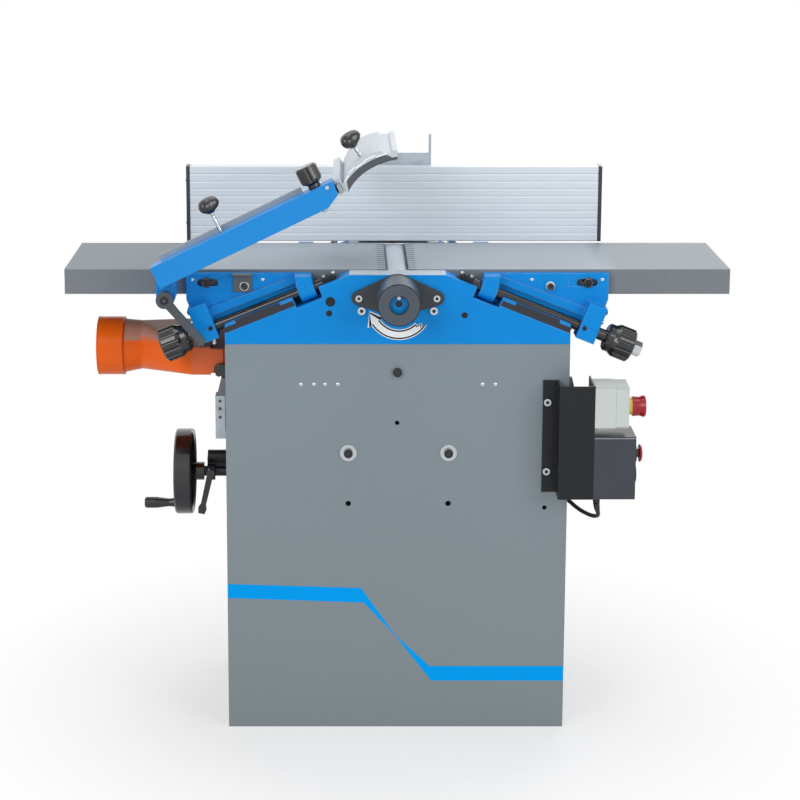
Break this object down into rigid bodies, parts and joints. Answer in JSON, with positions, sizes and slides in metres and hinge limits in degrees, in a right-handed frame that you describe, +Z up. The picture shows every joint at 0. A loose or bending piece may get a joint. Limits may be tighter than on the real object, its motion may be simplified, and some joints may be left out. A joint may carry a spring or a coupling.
{
  "type": "combination planer thicknesser",
  "caption": "Floor-standing combination planer thicknesser with inclined adjustable tables, tilting fence, bridge guard, dust hood, handwheel bed lift and switch boxes.",
  "frame": {"origin": "centre of the cabinet footprint on the floor", "axes": "+X along the tables to the infeed end, +Y away from the operator, +Z up"},
  "size_m": [1.19, 0.691, 1.1101],
  "materials": {
    "grey_paint": "fine textured grey powder coat",
    "blue_paint": "satin blue paint on cast iron",
    "blue_alloy": "satin blue paint on aluminium",
    "ground_iron": "ground grey iron with dark unmachined edges",
    "dark_iron": "dark painted iron",
    "dark_steel": "dark oiled steel",
    "bright_steel": "ground bright steel",
    "bright_zinc": "bright zinc plate",
    "galvanised": "galvanised sheet steel",
    "lever_zinc": "grey die cast lever",
    "black_paint": "satin black paint",
    "black_plastic": "moulded black plastic",
    "dark_plastic": "moulded dark grey plastic",
    "pale_plastic": "moulded pale grey plastic",
    "red_plastic": "glossy red plastic",
    "orange_plastic": "moulded orange plastic",
    "bright_alloy": "anodised aluminium extrusion",
    "motor_shell": "ribbed aluminium motor shell",
    "belt_rubber": "black ribbed belt",
    "pad_rubber": "grey soft pad",
    "cable_rubber": "black cable sheath"
  },
  "bodies": {
    "machine": {"base_plate": "grey_paint", "front_panel": "grey_paint", "rear_panel": "grey_paint", "left_panel": "grey_paint", "right_panel": "grey_paint", "front_frame": "blue_paint", "rear_frame": "blue_paint", "way_strips": "dark_steel", "rod_keepers": "black_paint", "shaft_cover": "black_paint", "housing_screws": "bright_zinc", "bearings": "bright_steel", "motor": "motor_shell", "drive_belt": "belt_rubber", "feed_gearbox": "black_paint", "rear_cover": "grey_paint", "lift_housing": "dark_iron", "shaft_bush": "black_paint", "fence_guide": "blue_paint", "switch_bracket": "black_paint", "stop_box": "pale_plastic", "switch_box": "dark_plastic", "switch_cables": "cable_rubber"},
    "cutter": {"cutterblock": "bright_steel", "cutter_pulley": "dark_iron"},
    "rotor": {"motor_pulley": "dark_iron"},
    "feed_in": {"infeed_roller": "dark_steel"},
    "feed_out": {"outfeed_roller": "bright_steel"},
    "fingers": {"kickback_fingers": "dark_steel"},
    "bed_group": {"bed": "ground_iron", "bed_end_plates": "galvanised"},
    "hood": {"dust_hood": "orange_plastic", "hood_knobs": "black_plastic"},
    "lift_screw": {"elevating_screw": "bright_steel"},
    "wheel": {"handwheel": "black_plastic", "wheel_shaft": "dark_steel"},
    "crank": {"crank_handle": "black_plastic"},
    "bed_lock": {"bed_lock_lever": "black_plastic"},
    "infeed": {"infeed_table": "ground_iron", "infeed_brackets": "blue_paint"},
    "infeed_knob": {"infeed_adjuster": "black_plastic"},
    "outfeed": {"outfeed_table": "ground_iron", "outfeed_brackets": "blue_paint", "guard_block": "blue_paint"},
    "outfeed_knob": {"outfeed_adjuster": "black_plastic"},
    "arm": {"guard_arm": "blue_alloy"},
    "arm_lever": {"guard_lever": "lever_zinc"},
    "bar_knob": {"arm_bar_knob": "black_plastic"},
    "clamp_knob": {"arm_clamp_knob": "black_plastic"},
    "bridge_group": {"bridge": "bright_alloy", "bridge_pad": "pad_rubber"},
    "bridge_screw": {"bridge_knob": "black_plastic"},
    "carriage": {"fence_carriage": "dark_steel"},
    "fence_group": {"fence": "bright_alloy", "fence_caps": "dark_plastic", "tilt_bracket": "galvanised"},
    "fence_clamp": {"fence_lever": "black_plastic"},
    "stop": {"stop_button": "red_plastic"},
    "small_stop": {"small_stop_button": "red_plastic"},
    "start": {"start_button": "black_plastic"}
  },
  "joints": [
    {"name": "cutter_spin", "type": "hinge", "parent": "machine", "child": "cutter", "pos_m": [0, 0, 0.8125], "axis": [0, 1, 0], "continuous": true},
    {"name": "motor_spin", "type": "hinge", "parent": "machine", "child": "rotor", "pos_m": [0, 0, 0.2], "axis": [0, 1, 0], "continuous": true},
    {"name": "infeed_roller_spin", "type": "hinge", "parent": "machine", "child": "feed_in", "pos_m": [-0.08, 0, 0.7895], "axis": [0, 1, 0], "continuous": true},
    {"name": "outfeed_roller_spin", "type": "hinge", "parent": "machine", "child": "feed_out", "pos_m": [0.08, 0, 0.7895], "axis": [0, 1, 0], "continuous": true},
    {"name": "finger_swing", "type": "hinge", "parent": "machine", "child": "fingers", "pos_m": [-0.122, 0, 0.7945], "axis": [0, -1, 0], "range_deg": [-5, 45]},
    {"name": "handwheel_turn", "type": "hinge", "parent": "machine", "child": "wheel", "pos_m": [-0.345, 0, 0.437], "axis": [1, 0, 0], "range_deg": [-2880, 2160]},
    {"name": "bed_lift", "type": "slide", "parent": "machine", "child": "bed_group", "axis": [0, 0, 1], "range_m": [-0.04, 0.03]},
    {"name": "lift_screw_turn", "type": "hinge", "parent": "machine", "child": "lift_screw", "pos_m": [0, 0, 0.45], "axis": [0, 0, 1], "range_deg": [-2160, 2880]},
    {"name": "crank_spin", "type": "hinge", "parent": "wheel", "child": "crank", "pos_m": [-0.44, 0, 0.375], "axis": [1, 0, 0], "continuous": true},
    {"name": "bed_lock_turn", "type": "hinge", "parent": "machine", "child": "bed_lock", "pos_m": [-0.345, -0.026, 0.441], "axis": [0, -1, 0], "range_deg": [0, 35]},
    {"name": "hood_slide", "type": "slide", "parent": "bed_group", "child": "hood", "axis": [-1, 0, 0], "range_m": [0, 0.25]},
    {"name": "infeed_knob_turn", "type": "hinge", "parent": "infeed", "child": "infeed_knob", "pos_m": [0.133, -0.152, 0.8292], "axis": [0.9272, 0, -0.3746], "range_deg": [0, 1800]},
    {"name": "infeed_slide", "type": "slide", "parent": "machine", "child": "infeed", "axis": [0.9272, 0, -0.3746], "range_m": [0, 0.01]},
    {"name": "outfeed_knob_turn", "type": "hinge", "parent": "outfeed", "child": "outfeed_knob", "pos_m": [-0.133, -0.152, 0.8292], "axis": [-0.9272, 0, -0.3746], "range_deg": [0, 1800]},
    {"name": "outfeed_slide", "type": "slide", "parent": "machine", "child": "outfeed", "axis": [-0.9272, 0, -0.3746], "range_m": [0, 0.01]},
    {"name": "guard_swing", "type": "hinge", "parent": "outfeed", "child": "arm", "pos_m": [-0.41, -0.19, 0.811], "axis": [0, -1, 0], "range_deg": [-20, 15]},
    {"name": "guard_lever_turn", "type": "hinge", "parent": "outfeed", "child": "arm_lever", "pos_m": [-0.41, -0.2, 0.811], "axis": [0, 1, 0], "range_deg": [-25, 25]},
    {"name": "bar_knob_turn", "type": "hinge", "parent": "arm", "child": "bar_knob", "pos_m": [-0.30757, -0.206, 0.92744], "axis": [-0.4368, 0, 0.8996], "range_deg": [-180, 180]},
    {"name": "clamp_knob_turn", "type": "hinge", "parent": "arm", "child": "clamp_knob", "pos_m": [-0.15259, -0.206, 1.02493], "axis": [-0.4368, 0, 0.8996], "range_deg": [-180, 180]},
    {"name": "bridge_slide", "type": "slide", "parent": "arm", "child": "bridge_group", "axis": [0, 1, 0], "range_m": [-0.15, 0.03]},
    {"name": "bridge_knob_turn", "type": "hinge", "parent": "bridge_group", "child": "bridge_screw", "pos_m": [-0.06608, -0.176, 1.06099], "axis": [-0.5693, 0, 0.8221], "range_deg": [-180, 180]},
    {"name": "fence_slide", "type": "slide", "parent": "machine", "child": "carriage", "axis": [0, -1, 0], "range_m": [0, 0.095]},
    {"name": "fence_tilt", "type": "hinge", "parent": "carriage", "child": "fence_group", "pos_m": [0, 0.172, 0.872], "axis": [-1, 0, 0], "range_deg": [0, 45]},
    {"name": "fence_lever_turn", "type": "hinge", "parent": "machine", "child": "fence_clamp", "pos_m": [0, 0.225, 0.882], "axis": [0, 0, 1], "range_deg": [-30, 40]},
    {"name": "stop_press", "type": "slide", "parent": "machine", "child": "stop", "axis": [-1, 0, 0], "range_m": [0, 0.004]},
    {"name": "small_stop_press", "type": "slide", "parent": "machine", "child": "small_stop", "axis": [-1, 0, 0], "range_m": [0, 0.004], "stiffness_N_per_m": 800, "springref_m": -0.003},
    {"name": "start_press", "type": "slide", "parent": "machine", "child": "start", "axis": [-1, 0, 0], "range_m": [0, 0.004], "stiffness_N_per_m": 800, "springref_m": -0.003}
  ],
  "couplings": [
    {"joint": "motor_spin", "follows": "cutter_spin", "ratio": 0.57778},
    {"joint": "infeed_roller_spin", "follows": "cutter_spin", "ratio": -0.0125},
    {"joint": "outfeed_roller_spin", "follows": "cutter_spin", "ratio": -0.0125},
    {"joint": "handwheel_turn", "follows": "bed_lift", "rad_per_m": 1256.6},
    {"joint": "lift_screw_turn", "follows": "bed_lift", "rad_per_m": -1256.6},
    {"joint": "infeed_knob_turn", "follows": "infeed_slide", "rad_per_m": 3141.6},
    {"joint": "outfeed_knob_turn", "follows": "outfeed_slide", "rad_per_m": 3141.6}
  ]
}
